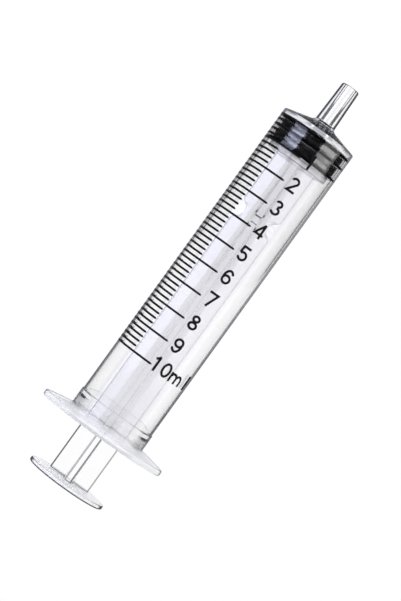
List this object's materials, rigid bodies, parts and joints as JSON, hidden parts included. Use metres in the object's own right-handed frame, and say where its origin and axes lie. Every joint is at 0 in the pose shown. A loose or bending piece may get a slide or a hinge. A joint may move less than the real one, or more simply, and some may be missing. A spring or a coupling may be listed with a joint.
{
  "type": "luer slip syringe",
  "caption": "Disposable syringe with an oval finger flange, a plain tapered slip nozzle, a printed millilitre scale and a clear plunger with a black rubber gasket.",
  "frame": {"origin": "centre of the thumb rest's underside, on which the syringe stands", "axes": "+Z along the barrel towards the nozzle, +X along the flange's long way, the printed scale faces -Y"},
  "size_m": [0.0286, 0.0194, 0.0982],
  "materials": {
    "barrel_plastic": "clear moulded polypropylene, glossy, milky in the thick flange",
    "rod_plastic": "clear moulded polypropylene, slightly cloudy",
    "black_rubber": "smooth oiled black rubber",
    "black_ink": "opaque black printing ink"
  },
  "bodies": {
    "barrel": {"barrel": "barrel_plastic", "scale_marks": "black_ink"},
    "gasket": {"gasket": "black_rubber"},
    "plunger": {"plunger_rod": "rod_plastic"}
  },
  "joints": [
    {"name": "plunger_slide", "type": "slide", "parent": "barrel", "child": "gasket", "axis": [0, 0, -1], "range_m": [0, 0.0622]},
    {"name": "rod_swivel", "type": "hinge", "parent": "gasket", "child": "plunger", "pos_m": [0, 0, 0.083], "axis": [0, 0, 1], "continuous": true}
  ]
}
